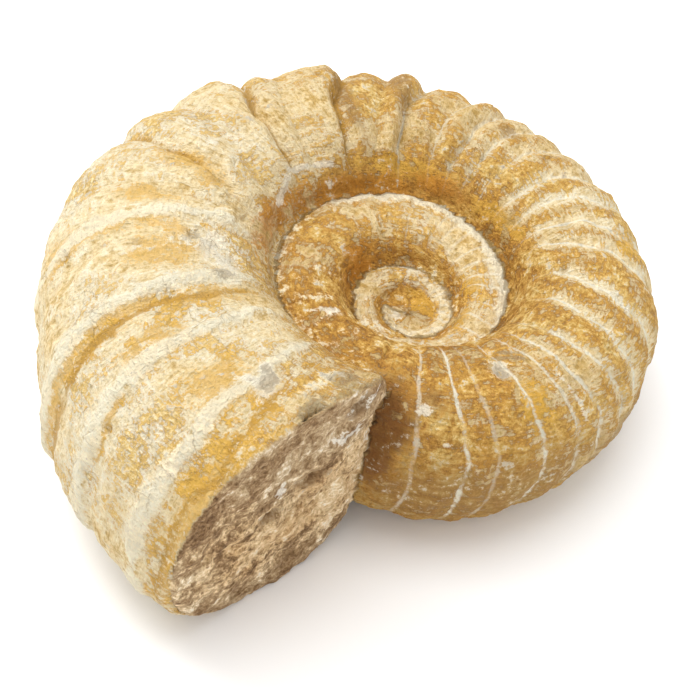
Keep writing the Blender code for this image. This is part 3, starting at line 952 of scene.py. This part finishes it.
# The pale mineral of the lines fades between these levels of wear, down to this least share.
LINE_FADE = (0.32, -0.15)
LINE_LEAST = 0.10
WORN_EDGES = (-0.12, 0.15)
WORN_LEAST = 0.03
WORN_MOST = 0.95
SPECK_COLOUR = "#7A5424"
SPECK_EDGES = (-0.20, -0.27)
SPECK_SHARE = 0.7
CRACK_SPACING = 9 * MM
CRACK_BEND = 7 * MM
CRACK_BEND_SIZE = 6 * MM
CRACK_EDGES = (0.008, 0.030)
CRACK_PLACES = (0.06, 0.11)
CRACK_SHARE = 0.34
PIT_DIRT_SHARE = 0.35
DIRT_COLOUR = "#96743F"
MATT_STONE = {"Roughness": 0.82, "Specular IOR Level": 0.25}
WORN_STEP = 0.10
BUMP_DISTANCE = 1.0 * MM
BUMP_ON_SKIN = 1.0
BUMP_ON_MOUTH = 0.65
MOUTH_PIT_COLOUR = "#5E4024"
CALCITE_COLOUR = "#E8E2D6"
MOUTH_RAGGEDNESS = 2.2


def weathered_limestone():
    """Iron-stained limestone, weathered in the ground: a chalky cream skin over ochre stone.

    It gives the eye a matt grainy face, with the skin worn through in ragged ochre patches. Shade
    is
    painted in too: darker on the underside of the whorl and in the recess beside the mouth.
    """
    material = bpy.data.materials.new("weathered_iron_stained_limestone")
    material.use_nodes = True
    tree = material.node_tree
    tree.nodes.clear()
    read = {}
    for name in [name for name, *_ in STAINS] + MARKS:
        read[name] = add(tree, "ShaderNodeAttribute", {"attribute_name": name}).outputs["Fac"]
    phase = add(tree, "ShaderNodeAttribute", {"attribute_name": "rib_phase"}).outputs["Vector"]
    whorl = add(tree, "ShaderNodeAttribute", {"attribute_name": "along_whorl"}).outputs["Vector"]
    places = {"stone": add(tree, "ShaderNodeTexCoord").outputs["Object"]}
    for name, stretch in (
        ("along", (STREAK_STRETCH, 1.0, 0.0)),
        ("across", (1.0, STREAK_STRETCH, 0.0)),
    ):
        stretched = {"Vector": whorl, "Scale": stretch}
        places[name] = add(tree, "ShaderNodeMapping", None, stretched).outputs[0]
    pattern = {}
    for name, wide, detail, roughness, way in PATTERNS:
        wanted = {"Vector": places[way], "Scale": 1 / (wide * MM)}
        wanted.update({"Detail": detail, "Roughness": roughness})
        wave = add(tree, NOISE, None, wanted).outputs[0]
        pattern[name] = add(tree, MATH, MINUS, {0: wave, 1: 0.5}).outputs[0]
    level = {}
    for name, (start, shares) in (
        ("worn", WORN_LEVEL),
        ("skin", SKIN_LEVEL),
        ("ochre", OCHRE_LEVEL),
        ("ragged", RAGGED_LEVEL),
        ("zone", ZONE_LEVEL),
        ("line", LINE_LEVEL),
        ("break", BREAK_LEVEL),
        ("shade", SHADE_LEVEL),
        ("bump", BUMP_LEVEL),
    ):
        level[name] = start
        for kind, share in shares.items():
            sum_so_far = {0: pattern[kind], 1: share, 2: level[name]}
            level[name] = add(tree, MATH, TIMES_PLUS, sum_so_far).outputs[0]

    # How far each point is from the middle of its groove, in millimetres, with a ragged edge.
    turn = add(tree, "ShaderNodeSeparateXYZ", None, {0: phase}).outputs
    turned = add(tree, MATH, {"operation": "ARCTAN2"}, {0: turn[1], 1: turn[0]}).outputs[0]
    turned = add(tree, MATH, {"operation": "ABSOLUTE"}, {0: turned}).outputs[0]
    spacing = add(tree, MATH, OVER, {0: turn[2], 1: TURN_RADIANS}).outputs[0]
    from_line = add(tree, MATH, TIMES, {0: turned, 1: spacing}).outputs[0]
    to_zone = add(tree, MATH, PLUS, {0: from_line, 1: level["zone"]}).outputs[0]
    to_line = add(tree, MATH, PLUS, {0: from_line, 1: level["line"]}).outputs[0]
    on_zone = {0: to_zone, 1: PALE_ZONE_WIDTH, 2: 0.0, 3: 0.0, 4: PALE_ZONE_SHARE}
    on_zone = add(tree, MAP_RANGE, SMOOTH, on_zone).outputs[0]
    on_line = {0: to_line, 1: PALE_LINE_WIDTH, 2: 0.2 * PALE_LINE_WIDTH, 3: 0.0, 4: 1.0}
    on_line = add(tree, MAP_RANGE, SMOOTH, on_line).outputs[0]
    # The pale mineral of the lines breaks up along them.
    unbroken = {0: level["worn"], 1: LINE_FADE[0], 2: LINE_FADE[1], 3: LINE_LEAST, 4: 1.0}
    unbroken = add(tree, MAP_RANGE, SMOOTH, unbroken).outputs[0]
    on_line = add(tree, MATH, TIMES, {0: on_line, 1: unbroken}).outputs[0]
    on_line = add(tree, MATH, TIMES, {0: on_line, 1: read["pale_line"]}).outputs[0]
    on_zone = add(tree, MATH, TIMES, {0: on_zone, 1: read["pale_zone"]}).outputs[0]

    # The skin, worn through to ochre stone in patches.
    worn = add(tree, MATH, PLUS, {0: level["worn"], 1: read["worn"]}).outputs[0]
    worn = add(tree, MATH, MINUS, {0: worn, 1: on_zone}).outputs[0]
    worn = {0: worn, 1: WORN_EDGES[0], 2: WORN_EDGES[1], 3: WORN_LEAST, 4: WORN_MOST}
    worn = add(tree, MAP_RANGE, SMOOTH, worn).outputs[0]
    skin = add(tree, "ShaderNodeValToRGB", None, {0: level["skin"]}, SKIN_STOPS).outputs[0]
    ochre = add(tree, "ShaderNodeValToRGB", None, {0: level["ochre"]}, OCHRE_STOPS).outputs[0]
    colour = add(tree, MIX, COLOUR_MIX, {0: worn, 6: skin, 7: ochre}).outputs[2]
    # Stains laid one over another; two layers also paint shade on the underside and in the recess
    # by the mouth.
    for name, code, raggedness, softness, most in STAINS:
        edge = {0: level["ragged"], 1: raggedness, 2: read[name]}
        edge = add(tree, MATH, TIMES_PLUS, edge).outputs[0]
        share = {0: edge, 1: 0.5 - softness, 2: 0.5 + softness, 3: 0.0, 4: most}
        share = add(tree, MAP_RANGE, SMOOTH, share).outputs[0]
        colour = add(tree, MIX, COLOUR_MIX, {0: share, 6: colour, 7: hex_colour(code)}).outputs[2]
    pale = hex_colour(PALE_LINE_COLOUR)
    colour = add(tree, MIX, COLOUR_MIX, {0: on_line, 6: colour, 7: pale}).outputs[2]

    # The broken mouth: brown stone above, a lighter lobe below, dark pits and pale calcite.
    mouth = add(tree, "ShaderNodeValToRGB", None, {0: level["break"]}, BREAK_STOPS).outputs[0]
    lobe = add(tree, "ShaderNodeValToRGB", None, {0: level["break"]}, LOBE_STOPS).outputs[0]
    for name, over, softness, most in (
        ("lobe", lobe, 0.22, 1.0),
        ("mouth_pit", hex_colour(MOUTH_PIT_COLOUR), 0.10, 0.50),
        ("calcite", hex_colour(CALCITE_COLOUR), 0.10, 0.70),
    ):
        edge = {0: level["ragged"], 1: MOUTH_RAGGEDNESS, 2: read[name]}
        edge = add(tree, MATH, TIMES_PLUS, edge).outputs[0]
        share = {0: edge, 1: 0.5 - softness, 2: 0.5 + softness, 3: 0.0, 4: most}
        share = add(tree, MAP_RANGE, SMOOTH, share).outputs[0]
        mouth = add(tree, MIX, COLOUR_MIX, {0: share, 6: mouth, 7: over}).outputs[2]
    colour = add(tree, MIX, COLOUR_MIX, {0: read["broken"], 6: colour, 7: mouth}).outputs[2]

    # Hair-thin cracks wander over the skin in places, and dirt sits in the pits.
    bend = {"Vector": places["stone"], "Scale": 1 / CRACK_BEND_SIZE, "Detail": 3.0}
    bend = add(tree, NOISE, None, bend).outputs["Color"]
    bent = {0: bend, 1: (CRACK_BEND,) * 3, 2: places["stone"]}
    bent = add(tree, VECTOR_MATH, TIMES_PLUS, bent).outputs[0]
    cells = {"Vector": bent, "Scale": 1 / CRACK_SPACING}
    crack = add(tree, CELLS, {"feature": "DISTANCE_TO_EDGE"}, cells).outputs["Distance"]
    crack = {0: crack, 1: CRACK_EDGES[0], 2: CRACK_EDGES[1], 3: 1.0, 4: 0.0}
    crack = add(tree, MAP_RANGE, SMOOTH, crack).outputs[0]
    cracked = {0: pattern["broad"], 1: CRACK_PLACES[0], 2: CRACK_PLACES[1], 3: 0.0, 4: CRACK_SHARE}
    cracked = add(tree, MAP_RANGE, SMOOTH, cracked).outputs[0]
    crack = add(tree, MATH, TIMES, {0: crack, 1: cracked}).outputs[0]
    dirt = {0: read["pit"], 1: PIT_DIRT_SHARE, 2: crack}
    dirt = add(tree, MATH, {"operation": "MULTIPLY_ADD", "use_clamp": True}, dirt).outputs[0]
    colour = add(tree, MIX, COLOUR_MIX, {0: dirt, 6: colour, 7: hex_colour(DIRT_COLOUR)}).outputs[2]

    # Fine light and dark grains through all of it, and dark specks in the deepest of them.
    shade = {"Color": colour, "Value": level["shade"]}
    colour = add(tree, "ShaderNodeHueSaturation", None, shade).outputs[0]
    speck = {0: pattern["along"], 1: SPECK_EDGES[0], 2: SPECK_EDGES[1], 3: 0.0, 4: SPECK_SHARE}
    speck = add(tree, MAP_RANGE, SMOOTH, speck).outputs[0]
    specked = {0: speck, 6: colour, 7: hex_colour(SPECK_COLOUR)}
    colour = add(tree, MIX, COLOUR_MIX, specked).outputs[2]
    height = {0: worn, 1: WORN_STEP, 2: level["bump"]}
    height = add(tree, MATH, TIMES_PLUS, height).outputs[0]
    strength = {0: read["broken"], 1: 0.0, 2: 1.0, 3: BUMP_ON_SKIN, 4: BUMP_ON_MOUTH}
    strength = add(tree, MAP_RANGE, None, strength).outputs[0]
    raised = {"Strength": strength, "Distance": BUMP_DISTANCE, "Height": height}
    bump = add(tree, "ShaderNodeBump", None, raised)
    surface = add(
        tree,
        "ShaderNodeBsdfPrincipled",
        None,
        {"Base Color": colour, **MATT_STONE, "Normal": bump.outputs[0]},
    )
    add(tree, "ShaderNodeOutputMaterial", None, {0: surface.outputs[0]})
    return material


def within_cad_box(mesh):
    """Wears the underside flat on the ground, and keeps the skin inside the solid's reach."""
    low, high = (np.array(corner) for corner in ammonite_box)
    points = np.clip(points_of(mesh), low, high)
    mesh.vertices.foreach_set("co", points.astype(np.float32).ravel())
    mesh.update()


def make_ammonite():
    mesh = made_solid(swept_tube())
    mark_places(mesh)
    ammonite = bpy.data.objects.new("ammonite_stone", mesh)
    bpy.context.scene.collection.objects.link(ammonite)
    material = weathered_limestone()
    tree = relief_tree(material)
    relief = ammonite.modifiers.new("weathered relief", "NODES")
    relief.node_group = tree
    for item in tree.interface.items_tree:
        if item.in_out == "INPUT" and item.name != "Geometry":
            relief[item.identifier] = dict(RELIEF_INPUTS)[item.name]
    graph = bpy.context.evaluated_depsgraph_get()
    finished = bpy.data.meshes.new_from_object(ammonite.evaluated_get(graph))
    ammonite.modifiers.remove(relief)
    ammonite.data = finished
    within_cad_box(finished)
    finished.shade_smooth()
    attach(ammonite, "root")
    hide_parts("ammonite")
    return ammonite


# --------------------------------------------------------------------------- floor, light, camera
FLOOR_HALF_WIDTH = 3.0
PAPER_SHADE = (0.97, 0.97, 0.97, 1.0)
MATT_PAPER = {"Roughness": 0.9, "Specular IOR Level": 0.1}


def make_floor():
    half = FLOOR_HALF_WIDTH
    mesh = bpy.data.meshes.new("floor")
    corners = [(-half, -half, 0), (half, -half, 0), (half, half, 0), (-half, half, 0)]
    mesh.from_pydata(corners, [], [(0, 1, 2, 3)])
    floor = bpy.data.objects.new("floor", mesh)
    bpy.context.scene.collection.objects.link(floor)
    paper = bpy.data.materials.new("white_backdrop_paper")
    paper.use_nodes = True
    surface = paper.node_tree.nodes["Principled BSDF"]
    surface.inputs["Base Color"].default_value = PAPER_SHADE
    for name, value in MATT_PAPER.items():
        surface.inputs[name].default_value = value
    mesh.materials.append(paper)


# Each softbox: its place, its size and its power in watts.
SOFTBOXES = (
    ("key", (-0.75, 0.35, 1.15), 0.9, 11.0),
    ("top", (0.0, -0.05, 1.4), 0.9, 7.5),
    ("fill", (0.9, -0.6, 1.0), 1.2, 0.6),
)
SKY_STRENGTH = 0.92


def make_light():
    scene = bpy.context.scene
    sky = bpy.data.worlds.new("soft white studio")
    sky.use_nodes = True
    background = sky.node_tree.nodes["Background"]
    background.inputs["Color"].default_value = (1.0, 1.0, 1.0, 1.0)
    background.inputs["Strength"].default_value = SKY_STRENGTH
    scene.world = sky
    for name, spot, size, watts in SOFTBOXES:
        lamp = bpy.data.lights.new(name, "AREA")
        lamp.shape = "DISK"
        lamp.size = size
        lamp.energy = watts
        softbox = bpy.data.objects.new(name, lamp)
        softbox.location = spot
        softbox.rotation_euler = Vector(spot).to_track_quat("Z", "Y").to_euler()
        scene.collection.objects.link(softbox)


CAMERA_PLACE = (0.0643, -0.4044, 0.4751)
CAMERA_TURN = (42.556, -2.762, 11.734)
LENS_MM = 98.74
SENSOR_MM = 36.0


def make_camera():
    lens = bpy.data.cameras.new("camera")
    lens.lens = LENS_MM
    lens.sensor_width = SENSOR_MM
    camera = bpy.data.objects.new("camera", lens)
    camera.location = CAMERA_PLACE
    camera.rotation_euler = [math.radians(angle) for angle in CAMERA_TURN]
    bpy.context.scene.collection.objects.link(camera)
    bpy.context.scene.camera = camera


bpy.context.scene.view_settings.view_transform = "Standard"
make_camera()
make_light()
make_floor()
make_ammonite()
